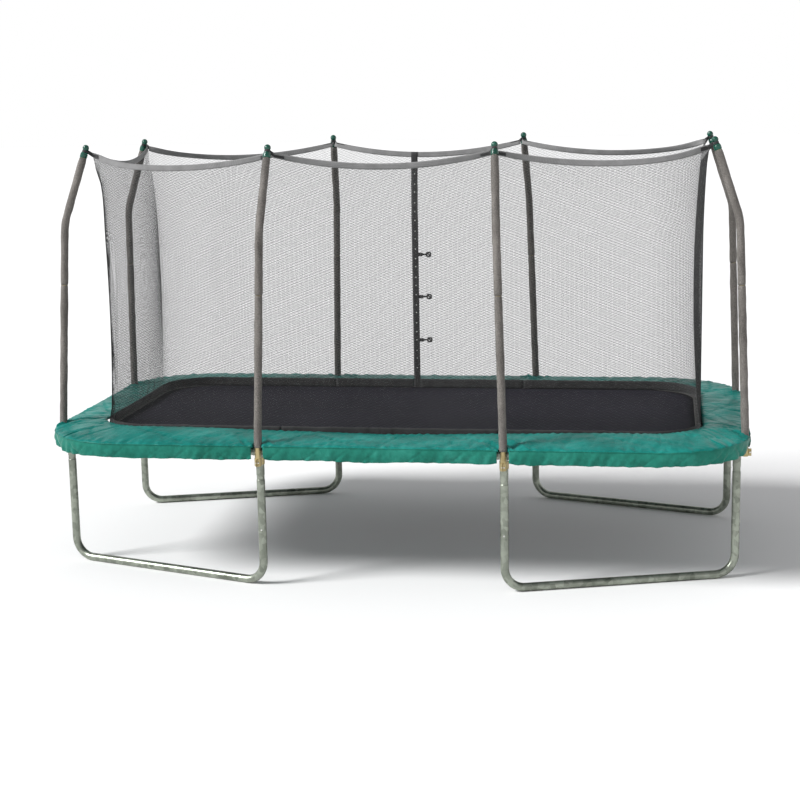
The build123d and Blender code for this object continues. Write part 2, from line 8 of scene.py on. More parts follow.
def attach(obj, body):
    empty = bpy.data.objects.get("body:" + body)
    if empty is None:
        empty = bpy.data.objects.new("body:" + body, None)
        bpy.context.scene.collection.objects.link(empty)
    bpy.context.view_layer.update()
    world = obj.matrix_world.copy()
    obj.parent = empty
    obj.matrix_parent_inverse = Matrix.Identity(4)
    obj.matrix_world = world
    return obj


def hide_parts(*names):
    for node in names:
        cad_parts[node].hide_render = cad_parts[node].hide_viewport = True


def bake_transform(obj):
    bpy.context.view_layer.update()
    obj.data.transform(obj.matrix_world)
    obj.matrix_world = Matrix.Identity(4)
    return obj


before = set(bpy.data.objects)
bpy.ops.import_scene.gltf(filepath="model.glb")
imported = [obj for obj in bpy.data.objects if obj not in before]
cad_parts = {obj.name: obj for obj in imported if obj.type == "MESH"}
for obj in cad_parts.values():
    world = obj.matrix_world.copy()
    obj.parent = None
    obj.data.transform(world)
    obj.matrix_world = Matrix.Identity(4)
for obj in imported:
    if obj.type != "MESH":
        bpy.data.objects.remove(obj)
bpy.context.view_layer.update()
COL = bpy.context.scene.collection

# Sizes of the object in metres, as in the CAD model.
RAIL_X, RAIL_Y, RAIL_R = 2.120, 1.182, 0.405
SIDE_LEG_X, END_LEG_Y = 0.745, 0.725
MAT_X, MAT_Y, MAT_R, MAT_Z = 1.9245, 0.930, 0.400, 0.870
PITCH_LONG, PITCH_END = 0.1146, 0.1075
HOOK_Z, SPRING_R, WIRE_R, SPRING_BODY = 0.8778, 0.008, 0.00175, 0.130
PAD_IN, PAD_OUT = (1.9175, 0.885, 0.345), (2.198, 1.260, 0.575)
POLE_OFF, KNEE_Z, BEND_Z, BEND_R = 0.048, 0.870, 2.190, 0.420
SIDE_CAP, END_CAP, CAP_Z = (0.683, 0.995), (1.968, 0.599), 2.642
SIDE_BEND, END_BEND = (0.706, 1.168), (2.116, 0.632)
NET_X, NET_Y, NET_R, NET_BOTTOM, NET_TOP = 1.9025, 0.868, 0.325, 0.876, 2.640
NET_SEAM_Y, FOOT_H = 0.520, 0.062
NET_SAG, NET_INSET, HEM_H, HEM_BOW = 0.080, 0.030, 0.038, 0.030
NET_BEND_Z = 2.074    # above this height the net leans out to the hem
LEFT_PULL, LEFT_TOP = 0.040, 2.50    # how far the left end draws inward, and below what height
DOOR_X, DOOR_W = -0.084, 0.046
CLIP_Z = 1.222, 1.535, 1.837
TAIL = 0.078
FLOOR_HALF = 400


# ------------------------------------------------------------------ camera
def set_camera():
    yaw, pitch, roll = math.radians(9.4106), math.radians(-10.73), math.radians(-1.0801)
    fwd = Vector((-math.sin(yaw) * math.cos(pitch), math.cos(yaw) * math.cos(pitch), math.sin(pitch)))
    side = Vector((math.cos(yaw), math.sin(yaw), 0))
    up = side.cross(fwd)
    r2 = side * math.cos(roll) + up * math.sin(roll)
    u2 = up * math.cos(roll) - side * math.sin(roll)
    data = bpy.data.cameras.new("camera")
    data.lens, data.sensor_width = 73.04, 36.0
    data.clip_end = 100
    cam = bpy.data.objects.new("camera", data)
    m = Matrix((r2, u2, -fwd)).transposed().to_4x4()
    m.translation = Vector((1.6797, -10.5587, 2.9751))
    cam.matrix_world = m
    COL.objects.link(cam)
    bpy.context.scene.camera = cam


# ------------------------------------------------------------------ meshes
def add_mesh(name, verts, faces, mat, smooth=True, uv=None):
    me = bpy.data.meshes.new(name)
    me.from_pydata(np.asarray(verts, float).tolist(), [], [list(map(int, f)) for f in faces])
    if uv is not None:
        layer = me.uv_layers.new(name="uv")
        loops = np.empty(len(me.loops), int)
        me.loops.foreach_get("vertex_index", loops)
        layer.data.foreach_set("uv", np.asarray(uv, np.float32)[loops].ravel())
    me.polygons.foreach_set("use_smooth", [smooth] * len(me.polygons))
    me.materials.append(mat)
    me.update()
    ob = bpy.data.objects.new(name, me)
    COL.objects.link(ob)
    return ob


def grid_faces(nu, nv, wrap_u=False, wrap_v=False):
    u = np.arange(nu if wrap_u else nu - 1)
    v = np.arange(nv if wrap_v else nv - 1)
    U, V = np.meshgrid(u, v, indexing="ij")
    U2, V2 = (U + 1) % nu, (V + 1) % nv
    return np.stack([U * nv + V, U2 * nv + V, U2 * nv + V2, U * nv + V2], -1).reshape(-1, 4)


def end_caps(nu, nv):
    """Faces that close the first and last row of a wrapped grid."""
    return [list(range(nv))[::-1], [(nu - 1) * nv + k for k in range(nv)]]


class Bag:
    """Gathers many small pieces into one mesh."""

    def __init__(self):
        self.v, self.f, self.n = [], [], 0

    def add(self, verts, faces):
        verts = np.asarray(verts, float).reshape(-1, 3)
        self.v.append(verts)
        self.f.extend([[int(i) + self.n for i in f] for f in faces])
        self.n += len(verts)

    def make(self, name, mat, smooth=True):
        return add_mesh(name, np.concatenate(self.v), self.f, mat, smooth)


def frames_along(p):
    """Tangent, normal and binormal at each point of a path, without twist."""
    p = np.asarray(p, float)
    t = np.gradient(p, axis=0)
    t /= np.linalg.norm(t, axis=1)[:, None]
    ref = np.array([0, 0, 1.0]) if abs(t[0][2]) < 0.9 else np.array([1.0, 0, 0])
    n = np.cross(t[0], ref)
    n /= np.linalg.norm(n)
    N = [n]
    for i in range(1, len(p)):
        n = N[-1] - t[i] * np.dot(N[-1], t[i])
        N.append(n / np.linalg.norm(n))
    N = np.array(N)
    return t, N, np.cross(t, N)


def tube_mesh(p, r, sides=8, closed=False):
    """Verts and faces of a tube along p; r may vary."""
    p = np.asarray(p, float)
    t, N, B = frames_along(p)
    a = np.arange(sides) * 2 * math.pi / sides
    r = np.broadcast_to(np.asarray(r, float), (len(p),))
    ring = N[:, None, :] * np.cos(a)[None, :, None] + B[:, None, :] * np.sin(a)[None, :, None]
    v = p[:, None, :] + ring * r[:, None, None]
    f = grid_faces(len(p), sides, wrap_u=closed, wrap_v=True).tolist()
    if not closed:
        f += end_caps(len(p), sides)
    return v.reshape(-1, 3), f


def strip_mesh(p, side, w, t):
    """Closed flat strap along p; side is its width direction at each point."""
    p, side = np.asarray(p, float), np.asarray(side, float)
    side = side / np.linalg.norm(side, axis=1)[:, None]
    tan = np.gradient(p, axis=0)
    tan /= np.linalg.norm(tan, axis=1)[:, None]
    nor = np.cross(tan, side)
    w = np.broadcast_to(np.asarray(w, float), (len(p),))[:, None]
    c = [(-1, -1), (-0.5, -1), (0, -1), (0.5, -1), (1, -1), (1, 1), (0.5, 1), (0, 1), (-0.5, 1), (-1, 1)]
    v = np.stack([p + side * (w / 2 * a) + nor * (t / 2 * b) for a, b in c], 1)
    k = len(c)
    f = grid_faces(len(p), k, wrap_v=True).tolist()
    f += end_caps(len(p), k)
    return v.reshape(-1, 3), f


def wob(x, seed, scale, terms=6):
    """Smooth pseudo-random wave of a coordinate, within about -1 to 1."""
    g = np.random.default_rng(seed)
    out = np.zeros_like(np.asarray(x, float))
    for k in range(terms):
        out += np.sin(x * 2 * math.pi / scale * g.uniform(0.55, 1.9) + g.uniform(0, 6.28)) * g.uniform(0.5, 1)
    return out / (terms * 0.45)


def crease(x, seed, pitch):
    """Narrow valleys at uneven spacing and uneven depth, 0 to 1."""
    x = np.asarray(x, float)
    g = np.random.default_rng(seed)
    depth = g.uniform(0.15, 1.0, 512)
    shift = g.uniform(-0.35, 0.35, 512)
    k = np.floor(x / pitch).astype(int)
    out = np.zeros_like(x)
    for j in (-1, 0, 1):
        i = k + j
        d = x / pitch - (i + 0.5 + shift[i % 512])
        out = np.maximum(out, depth[i % 512] * np.exp(-np.abs(d * pitch) / 0.011))
    return out


# --------------------------------------------------------------- materials
class Mat:
    def __init__(self, name, color, rough, metal=0.0, spec=0.5):
        self.m = bpy.data.materials.new(name)
        self.m.use_nodes = True
        self.t = self.m.node_tree
        self.b = self.t.nodes["Principled BSDF"]
        self.b.inputs["Base Color"].default_value = (*color, 1)
        self.b.inputs["Roughness"].default_value = rough
        self.b.inputs["Metallic"].default_value = metal
        self.b.inputs["Specular IOR Level"].default_value = spec
        self.co = self.t.nodes.new("ShaderNodeTexCoord")

    def node(self, kind, **kw):
        n = self.t.nodes.new(kind)
        for k, v in kw.items():
            if k in n.inputs:
                n.inputs[k].default_value = v
            else:
                setattr(n, k, v)
        return n

    def link(self, a, b):
        self.t.links.new(a, b)

    def coord(self, scale=(1, 1, 1), rot=(0, 0, 0), uv=False):
        m = self.node("ShaderNodeMapping")
        m.inputs["Scale"].default_value = scale
        m.inputs["Rotation"].default_value = rot
        self.link(self.co.outputs["UV" if uv else "Object"], m.inputs["Vector"])
        return m.outputs["Vector"]

    def noise(self, scale, detail=4.0, vec=None, rough=0.55):
        n = self.node("ShaderNodeTexNoise", Scale=scale, Detail=detail, Roughness=rough)
        self.link(vec if vec is not None else self.coord(), n.inputs["Vector"])
        return n.outputs["Fac"]

    def wave(self, scale, vec, direction="X", profile="SIN", distortion=0.0):
        n = self.node("ShaderNodeTexWave", Scale=scale, Distortion=distortion)
        n.bands_direction = direction
        n.wave_profile = profile
        self.link(vec, n.inputs["Vector"])
        return n.outputs["Fac"]

    def math(self, op, a, b=0.5, clamp=False):
        n = self.node("ShaderNodeMath", operation=op, use_clamp=clamp)
        for i, x in enumerate((a, b)):
            if hasattr(x, "links"):
                self.link(x, n.inputs[i])
            else:
                n.inputs[i].default_value = x
        return n.outputs[0]

    def ramp(self, fac, stops):
        n = self.node("ShaderNodeValToRGB")
        e = n.color_ramp.elements
        while len(e) < len(stops):
            e.new(0.5)
        for el, (pos, c) in zip(e, stops):
            el.position = pos
            el.color = (*c, 1) if len(c) == 3 else c
        self.link(fac, n.inputs["Fac"])
        return n.outputs["Color"]

    def color(self, socket):
        self.link(socket, self.b.inputs["Base Color"])

    def rough_from(self, fac, lo, hi):
        n = self.node("ShaderNodeMapRange")
        n.inputs["To Min"].default_value, n.inputs["To Max"].default_value = lo, hi
        self.link(fac, n.inputs["Value"])
        self.link(n.outputs["Result"], self.b.inputs["Roughness"])

    def bump(self, height, strength, dist, under=None):
        n = self.node("ShaderNodeBump", Strength=strength, Distance=dist)
        self.link(height, n.inputs["Height"])
        if under is not None:
            self.link(under, n.inputs["Normal"])
        return n.outputs["Normal"]

    def normal(self, socket):
        self.link(socket, self.b.inputs["Normal"])


def steel(name, c_lo, c_hi, rough_lo, rough_hi, metal=0.85, spangle=34.0):
    m = Mat(name, c_hi, 0.4, metal)
    v = m.node("ShaderNodeTexVoronoi", Scale=spangle)
    m.link(m.coord(), v.inputs["Vector"])
    big = m.noise(5.0, 5.0)
    mix = m.math("ADD", m.math("MULTIPLY", v.outputs["Color"], 0.35), m.math("MULTIPLY", big, 0.75))
    m.color(m.ramp(mix, [(0.25, c_lo), (0.75, c_hi)]))
    m.rough_from(mix, rough_lo, rough_hi)
    m.normal(m.bump(m.noise(260.0, 3.0), 0.12, 0.0006))
    return m.m


M = {}
M["tube"] = steel("galvanised_tube", (0.12, 0.132, 0.108), (0.36, 0.39, 0.33), 0.26, 0.44)
M["zinc"] = steel("zinc_bright", (0.55, 0.55, 0.52), (0.80, 0.80, 0.78), 0.22, 0.38, 0.95)
M["gold"] = steel("zinc_yellow", (0.20, 0.155, 0.065), (0.50, 0.41, 0.22), 0.26, 0.42, 0.95)
M["spring"] = steel("spring_wire", (0.42, 0.42, 0.41), (0.66, 0.66, 0.65), 0.28, 0.40, 0.95)


def make_mat_cloth():
    m = Mat("jump_mat", (0.026, 0.025, 0.034), 0.85, 0.0, 0.04)
    warp = m.wave(105.0, m.coord(), "X")
    weft = m.wave(105.0, m.coord(), "Y")
    weave = m.math("MULTIPLY", warp, weft)
    stripe = m.wave(2.1, m.coord(), "Y", "SIN", 0.6)
    fade = m.math("ADD", m.math("MULTIPLY", m.noise(3.0, 6.0), 0.8), m.math("MULTIPLY", stripe, 0.12))
    m.color(m.ramp(m.math("ADD", m.math("MULTIPLY", weave, 0.35), m.math("MULTIPLY", fade, 0.75)),
                   [(0.15, (0.013, 0.0125, 0.018)), (0.60, (0.027, 0.025, 0.035)),
                    (1.0, (0.055, 0.052, 0.068))]))
    m.rough_from(fade, 0.6, 0.82)
    m.normal(m.bump(weave, 0.35, 0.0012))
    return m.m


def make_webbing(name, lo, hi, scale=95.0):
    m = Mat(name, lo, 0.7, 0.0, 0.3)
    rib = m.wave(scale, m.coord(), "DIAGONAL")
    rib2 = m.wave(scale, m.coord((1, -1, 1)), "DIAGONAL")
    w = m.math("MULTIPLY", rib, rib2)
    big = m.noise(16.0, 5.0)
    mix = m.math("ADD", m.math("MULTIPLY", w, 0.5), m.math("MULTIPLY", big, 0.6))
    m.color(m.ramp(mix, [(0.2, lo), (0.9, hi)]))
    m.b.inputs["Sheen Weight"].default_value = 0.2
    m.normal(m.bump(w, 0.5, 0.001))
    return m.m


def make_vinyl(name, lo, mid, hi):
    m = Mat(name, mid, 0.36, 0.0, 0.08)
    big = m.noise(4.0, 6.0, m.coord((1, 1, 1)), 0.6)
    fine = m.noise(38.0, 5.0)
    mix = m.math("ADD", m.math("MULTIPLY", big, 0.7), m.math("MULTIPLY", fine, 0.3))
    m.color(m.ramp(mix, [(0.30, lo), (0.52, mid), (0.78, hi)]))
    m.rough_from(fine, 0.26, 0.44)
    grain = m.bump(m.noise(520.0, 2.0), 0.18, 0.0006)
    creases = m.noise(11.0, 7.0, m.coord((1, 1, 0.35)), 0.62)
    m.normal(m.bump(creases, 0.62, 0.012, grain))
    return m.m


def make_sleeve():
    m = Mat("pole_sleeve", (0.068, 0.061, 0.056), 0.7, 0.0, 0.16)
    a = m.wave(150.0, m.coord((1, 1, 0.75)), "DIAGONAL")
    b = m.wave(150.0, m.coord((1, 1, -0.75)), "DIAGONAL")
    w = m.math("MULTIPLY", a, b)
    big = m.noise(9.0, 6.0, m.coord((1, 1, 0.4)))
    grit = m.noise(160.0, 3.0)
    mix = m.math("ADD", m.math("MULTIPLY", w, 0.35), m.math("MULTIPLY", m.math("ADD", big, grit), 0.42))
    m.color(m.ramp(mix, [(0.30, (0.036, 0.033, 0.030)), (0.52, (0.128, 0.118, 0.108)),
                         (0.76, (0.330, 0.306, 0.285))]))
    m.rough_from(grit, 0.42, 0.66)
    m.normal(m.bump(w, 0.4, 0.0012, m.bump(grit, 0.3, 0.001)))
    m.b.inputs["Sheen Weight"].default_value = 0.05
    return m.m


def make_plastic(name, lo, hi, rough=0.3):
    m = Mat(name, hi, rough, 0.0, 0.5)
    n = m.noise(24.0, 5.0)
    m.color(m.ramp(n, [(0.3, lo), (0.75, hi)]))
    m.rough_from(n, rough - 0.06, rough + 0.12)
    m.normal(m.bump(m.noise(300.0, 2.0), 0.08, 0.0005))
    return m.m


def make_net():
    m = Mat("net_mesh", (0.055, 0.055, 0.055), 0.7, 0.0, 0.3)
    v1 = m.wave(19.0, m.coord((1, 1, 1), (0, 0, 0.36), uv=True), "Y", "SIN", 0.15)
    v2 = m.wave(21.0, m.coord((1, 1, 1), (0, 0, -0.50), uv=True), "Y", "SIN", 0.0)
    yarn = m.math("MULTIPLY", m.math("POWER", v1, 2.0), 0.195)
    yarn2 = m.math("MULTIPLY", m.math("POWER", v2, 2.0), 0.145)
    alpha = m.math("ADD", m.math("ADD", yarn, yarn2), 0.027, True)
    m.link(alpha, m.b.inputs["Alpha"])
    m.color(m.ramp(m.noise(40.0, 3.0), [(0.3, (0.022, 0.022, 0.022)), (0.8, (0.050, 0.050, 0.050))]))
    return m.m


M["mat"] = make_mat_cloth()
M["border"] = make_webbing("mat_border", (0.012, 0.011, 0.010), (0.040, 0.037, 0.033))
M["black"] = make_webbing("black_webbing", (0.010, 0.010, 0.010), (0.045, 0.045, 0.047), 130.0)
M["hem"] = make_webbing("grey_hem", (0.13, 0.13, 0.13), (0.27, 0.27, 0.27), 110.0)
M["vinyl"] = make_vinyl("green_vinyl", (0.005, 0.098, 0.082), (0.011, 0.185, 0.158), (0.034, 0.310, 0.268))
M["skirt"] = make_vinyl("green_skirt", (0.008, 0.100, 0.070), (0.016, 0.165, 0.122), (0.040, 0.255, 0.200))
M["sleeve"] = make_sleeve()
M["cap"] = make_plastic("green_plastic", (0.002, 0.040, 0.026), (0.006, 0.100, 0.066), 0.22)
M["plastic"] = make_plastic("black_plastic", (0.010, 0.010, 0.010), (0.035, 0.035, 0.035), 0.35)
M["net"] = make_net()
M["yarn"] = make_plastic("net_yarn", (0.010, 0.010, 0.010), (0.034, 0.034, 0.034), 0.6)

# CAD nodes that keep their shape and get a finish.
FINISH = {
    "tube": ["leg_base_fl", "leg_base_fr", "leg_base_bl", "leg_base_br", "leg_uprights", "t_sockets",
             "rail_front", "rail_back", "rail_left", "rail_right", "rail_corners"],
    "zinc": ["leg_screws", "socket_screws", "clamp_bolts", "clamp_nuts", "zip_slider"],
    "gold": ["pole_lower", "pole_upper", "pole_clamps"],
    "cap": ["cap_balls", "cap_cups"],
}
for key, names in FINISH.items():
    for n in names:
        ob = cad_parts[n]
        ob.data.materials.clear()
        ob.data.materials.append(M[key])


# ------------------------------------------------------------- geometry maps
def outline(hx, hy, r, u):
    """Points of a rounded rectangle; u runs 0 to 12, three spans a quadrant, clockwise from the top."""
    u = np.mod(np.asarray(u, float), 12.0)
    q = (u // 3).astype(int)
    w = u - 3 * q
    flip = q % 2 == 1
    w = np.where(flip, 3 - w, w)
    a, b = hx - r, hy - r
    t = (np.clip(w, 1, 2) - 1) * math.pi / 2
    x = np.clip(w, 0, 1) * a + r * np.sin(t)
    y = b + r * np.cos(t) - np.clip(w - 2, 0, 1) * b
    sx = np.where((q == 0) | (q == 1), 1, -1)
    sy = np.where((q == 0) | (q == 3), 1, -1)
    return x * sx, y * sy


def u_at(hx, hy, r, quad, kind, value):
    """The u of a point at x=value on a long side or y=value on an end, in quadrant quad."""
    w = value / (hx - r) if kind == "side" else 3 - value / (hy - r)
    return 3 * quad + (3 - w if quad % 2 else w)


QUAD = {(1, 1): 0, (1, -1): 1, (-1, -1): 2, (-1, 1): 3}
LEGS = []
for sx in (-1, 1):
    for sy in (-1, 1):
        LEGS.append((sx, sy, "side", np.array([sx * SIDE_LEG_X, sy * RAIL_Y]), np.array([0.0, sy])))
        LEGS.append((sx, sy, "end", np.array([sx * RAIL_X, sy * END_LEG_Y]), np.array([float(sx), 0.0])))
POLE_XY = [leg[3] + leg[4] * POLE_OFF for leg in LEGS]
POLE_U = sorted(u_at(*PAD_OUT, QUAD[(sx, sy)], kind, SIDE_LEG_X if kind == "side" else END_LEG_Y)
                for sx, sy, kind, _, _ in LEGS)


def near_pole(x, y, reach):
    """1 at a pole, falling to 0 at reach metres away."""
    d = np.min([np.hypot(x - p[0], y - p[1]) for p in POLE_XY], axis=0)
    return np.clip(1 - d / reach, 0, 1) ** 2


# ---------------------------------------------------------------- spring pad
def perimeter_u(u0, u1, step):
    """u values from u0 to u1 about step metres apart on the pad's outer edge."""
    fine = np.linspace(u0, u1, 4000)
    x, y = outline(*PAD_OUT, fine)
    s = np.concatenate([[0], np.cumsum(np.hypot(np.diff(x), np.diff(y)))])
    n = max(int(s[-1] / step), 4)
    return np.interp(np.linspace(0, s[-1], n + 1), s, fine), np.linspace(0, s[-1], n + 1)


def pad_section(name, u0, u1, seed):
    u, s = perimeter_u(u0, u1, 0.011)
    ix, iy = outline(*PAD_IN, u)
    ox, oy = outline(*PAD_OUT, u)
    top = [(0.0, 0.8915), (0.006, 0.8955), (0.02, 0.899)]
    top += [(d, 0.899 + 0.0095 * math.sin(math.pi * min(1, (d - 0.02) / 0.96)) ** 0.7) for d in
            (0.05, 0.09, 0.14, 0.20, 0.27, 0.34, 0.41, 0.48, 0.55, 0.62, 0.69, 0.76, 0.82, 0.87, 0.91,
             0.94, 0.965)]
    top += [(0.982, 0.8985), (0.995, 0.8955), (1.0, 0.8915)]
    bottom = [(0.997, 0.8862), (0.98, 0.8832), (0.85, 0.8826), (0.6, 0.8824), (0.4, 0.8824), (0.15, 0.8826),
              (0.02, 0.8832), (0.003, 0.8862)]
    prof = np.array(top + bottom)
    D, Z = prof[:, 0][None, :], prof[:, 1][None, :] + np.zeros((len(u), 1))
    X = ix[:, None] + (ox - ix)[:, None] * D
    Y = iy[:, None] + (oy - iy)[:, None] * D
    S = s[:, None] + np.zeros_like(D)
    is_top = (np.arange(len(prof)) < len(top))[None, :]
    pole = near_pole(X, Y, 0.30)
    swell = 0.0042 * wob(S + 0.35 * D, seed, 0.62) + 0.0026 * wob(S - 0.2 * D, seed + 1, 0.23)
    swell = swell - 0.0130 * crease(S + 0.55 * D, seed + 7, 0.37)
    swell = swell - 0.0115 * crease(S - 0.75 * D, seed + 8, 0.31)
    swell = swell - 0.0090 * crease(S - 0.10 * D, seed + 9, 0.19)
    inner = np.exp(-((D - 0.04) / 0.12) ** 2)
    outer = np.exp(-((D - 0.95) / 0.14) ** 2)
    pucker = 0.0026 * inner * wob(S, seed + 2, 0.075) + 0.0040 * outer * wob(S + 0.03 * D, seed + 3, 0.095)
    folds = pole * 0.015 * wob(S + 0.25 * D, seed + 4, 0.085)
    Z = Z + is_top * (swell * np.sin(math.pi * np.clip(D, 0, 1)) ** 0.5 + pucker + folds)
    Z = np.maximum(Z, np.where(is_top, 0.8885, 0.8822))
    # the front pad's inner lip stands up toward the corners
    front = np.clip((-Y - 0.30) / 0.45, 0, 1)
    rise = 0.004 + 0.028 * np.clip(np.abs(X) / 1.25, 0, 1) ** 1.2
    Z = Z + front * rise * (1 - D) ** 0.8
    edge = 0.0035 * outer * wob(S, seed + 5, 0.21) + 0.0015 * outer * wob(S, seed + 6, 0.07)
    nx, ny = (ox - ix), (oy - iy)
    k = np.hypot(nx, ny)
    X = X + (nx / k)[:, None] * edge * is_top
    Y = Y + (ny / k)[:, None] * edge * is_top
    v = np.stack([X, Y, Z], -1).reshape(-1, 3)
    nv = len(prof)
    f = grid_faces(len(u), nv, wrap_v=True).tolist()
    f += end_caps(len(u), nv)
    return add_mesh(name, v, f, M["vinyl"])


def pole_cutter():
    """U-shaped ways through the pad at the poles, open to the outside."""
    bag = Bag()
    for leg, p in zip(LEGS, POLE_XY):
        out = leg[4]
        side = np.array([-out[1], out[0]])
        pts = []
        for k in range(13):
            a = math.pi / 2 + math.pi * k / 12
            pts.append(p + 0.0275 * (out * math.cos(a) + side * math.sin(a)))
        pts.append(p + out * 0.09 - side * 0.036)
        pts.append(p + out * 0.09 + side * 0.036)
        n = len(pts)
        v = [(q[0], q[1], z) for z in (0.86, 0.93) for q in pts]
        f = [list(range(n))[::-1], [n + k for k in range(n)]]
        f += [[k, (k + 1) % n, n + (k + 1) % n, n + k] for k in range(n)]
        bag.add(v, f)
    ob = bag.make("cutter", M["vinyl"], False)
    recalc(ob)
    return ob


def recalc(ob):
    bm = bmesh.new()
    bm.from_mesh(ob.data)
    bmesh.ops.recalc_face_normals(bm, faces=bm.faces)
    bm.to_mesh(ob.data)
    bm.free()


def apply_mods(ob):
    dg = bpy.context.evaluated_depsgraph_get()
    me = bpy.data.meshes.new_from_object(ob.evaluated_get(dg))
    old = ob.data
    ob.modifiers.clear()
    ob.data = me
    bpy.data.meshes.remove(old)


def build_pad():
    cutter = pole_cutter()
    spans = {"pad_back": (-1.5, 1.5), "pad_right": (1.5, 4.5),
             "pad_front": (4.5, 7.5), "pad_left": (7.5, 10.5)}
    for k, (node, (a, b)) in enumerate(spans.items()):
        ob = pad_section("v_" + node, a + 0.002, b - 0.002, 20 + 10 * k)
        recalc(ob)
        m = ob.modifiers.new("cut", "BOOLEAN")
        m.object, m.operation, m.solver = cutter, "DIFFERENCE", "EXACT"
        apply_mods(ob)
        ob.data.polygons.foreach_set("use_smooth", [True] * len(ob.data.polygons))
        ob.data.set_sharp_from_angle(angle=math.radians(50))
        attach(ob, "frame")
        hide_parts(node)
    bpy.data.objects.remove(cutter)


def build_skirt():
    """Vinyl skirt hanging from the pad's outer seam, in eight lengths between the poles."""
    bag, piping = Bag(), Bag()
    us = POLE_U + [POLE_U[0] + 12]
    for k in range(8):
        full, s = perimeter_u(us[k], us[k + 1], 0.009)
        keep = (s > 0.036) & (s < s[-1] - 0.036)
        u, s = full[keep], s[keep]
        ox, oy = outline(*PAD_OUT, u)
        gx, gy = np.gradient(ox), np.gradient(oy)
        g = np.hypot(gx, gy)
        nx, ny = -gy / g, gx / g
        flip = np.sign(nx * ox + ny * oy)
        nx, ny = nx * flip, ny * flip
        nv = 17
        t = np.linspace(0, 1, nv)[None, :]
        end = np.minimum(s - s[0], s[-1] - s)[:, None]
        gather = np.exp(-end / 0.05)
        depth = 0.088 + 0.004 * wob(s, 60 + k, 0.9)[:, None] - 0.010 * np.exp(-end / 0.03)
        S = s[:, None]
        fold = 0.0090 * wob(S + 0.05 * t, 70 + k, 0.26) + 0.005 * wob(S - 0.04 * t, 80 + k, 0.10)
        fold = fold - 0.015 * crease(S + 0.10 * t, 85 + k, 0.24) - 0.012 * crease(S - 0.12 * t, 86 + k, 0.17)
        fold = fold * t ** 0.8 + gather * 0.006 * wob(S, 90 + k, 0.035) * t
        belly = 0.004 * np.sin(math.pi * t) - 0.010 * t ** 2
        off = np.clip(belly + fold, -0.022, 0.012) - 0.0005
        X = ox[:, None] + nx[:, None] * off
        Y = oy[:, None] + ny[:, None] * off
        Z = 0.8935 - t * depth + 0.0022 * t * wob(S, 100 + k, 0.13)
        outer = np.stack([X, Y, Z], -1)
        th = 0.0016
        back = outer - np.stack([nx[:, None] * th + 0 * t, ny[:, None] * th + 0 * t, 0 * X], -1)
        ring = np.concatenate([outer, back[:, ::-1]], 1)
        nr = ring.shape[1]
        f = grid_faces(len(u), nr, wrap_v=True).tolist()
        f += end_caps(len(u), nr)
        bag.add(ring, f)
        # rolled hem along the lower edge and piping along the seam
        low = outer[:, -1] + np.stack([nx * -0.0008, ny * -0.0008, 0 * nx + 0.001], -1)
        piping.add(*tube_mesh(low[::2], 0.0022, 6))
        seam = np.stack([ox + nx * 0.0018, oy + ny * 0.0018, 0.8925 + 0.001 * wob(s, 110 + k, 0.12)], -1)
        piping.add(*tube_mesh(seam[::2], 0.0021, 6))
    skirt = bag.make("v_skirt", M["skirt"])
    recalc(skirt)
    pipe = piping.make("v_skirt_piping", M["skirt"])
    for ob in (skirt, pipe):
        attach(ob, "frame")
    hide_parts("skirt_front", "skirt_back", "skirt_left", "skirt_right")


# ----------------------------------------------------------------------- bed
def stations():
    out = {"front": [], "back": [], "left": [], "right": []}
    for k in range(-13, 14):
        out["front"].append((k * PITCH_LONG, -MAT_Y, 0, -1, RAIL_Y - MAT_Y))
        out["back"].append((k * PITCH_LONG, MAT_Y, 0, 1, RAIL_Y - MAT_Y))
    for k in range(-5, 6):
        out["left"].append((-MAT_X, k * PITCH_END, -1, 0, RAIL_X - MAT_X))
        out["right"].append((MAT_X, k * PITCH_END, 1, 0, RAIL_X - MAT_X))
    cx, cy, ox, oy = MAT_X - MAT_R, MAT_Y - MAT_R, RAIL_X - RAIL_R, RAIL_Y - RAIL_R
    for sx in (-1, 1):
        for sy in (-1, 1):
            got = []
            for deg in (10, 26, 45, 64, 80):
                ux, uy = math.cos(math.radians(deg)), math.sin(math.radians(deg))
                px, py = cx + MAT_R * ux, cy + MAT_R * uy
                wx, wy = px - ox, py - oy
                along = wx * ux + wy * uy
                span = -along + math.sqrt(along ** 2 - (wx * wx + wy * wy - RAIL_R ** 2))
                got.append((sx * px, sy * py, sx * ux, sy * uy, span))
            out["corner_" + ("f" if sy < 0 else "b") + ("l" if sx < 0 else "r")] = got
    return out


STATIONS = stations()


def put(local, st):
    """Local points (x outward, z up) to the frame at a station."""
    local = np.asarray(local, float)
    x = st[0] + st[2] * local[:, 0] - st[3] * local[:, 1]
    y = st[1] + st[3] * local[:, 0] + st[2] * local[:, 1]
    return np.stack([x, y, local[:, 2]], -1)


def spring_path(span):
    """Hook, close coil and hook as one wire path along local X."""
    x0, x1 = 0.019, span
    mid = (x0 + x1) / 2 + 0.002
    body = max(SPRING_BODY, span - 0.122)
    b0, b1 = mid - body / 2, mid + body / 2
    rc, zc = SPRING_R - WIRE_R, HOOK_Z - 0.0065
    turns, per = int(body / 0.0052), 8
    a = np.linspace(0, 2 * math.pi * turns, turns * per + 1)
    coil = np.stack([np.linspace(b0, b1, len(a)), rc * np.sin(a), zc + rc * np.cos(a)], -1)
    head = [(x0 + 0.001, 0, 0.8655), (x0, 0, 0.870), (x0 + 0.0005, 0, 0.8755),
            (x0 + 0.004, 0, HOOK_Z), (b0 - 0.004, 0, HOOK_Z)]
    tail = [(b1 + 0.004, 0, HOOK_Z), (x1 - 0.004, 0, HOOK_Z),
            (x1 - 0.0005, 0, HOOK_Z - 0.0025), (x1, 0, 0.871), (x1, 0, 0.864)]
    return np.concatenate([head, coil, tail])


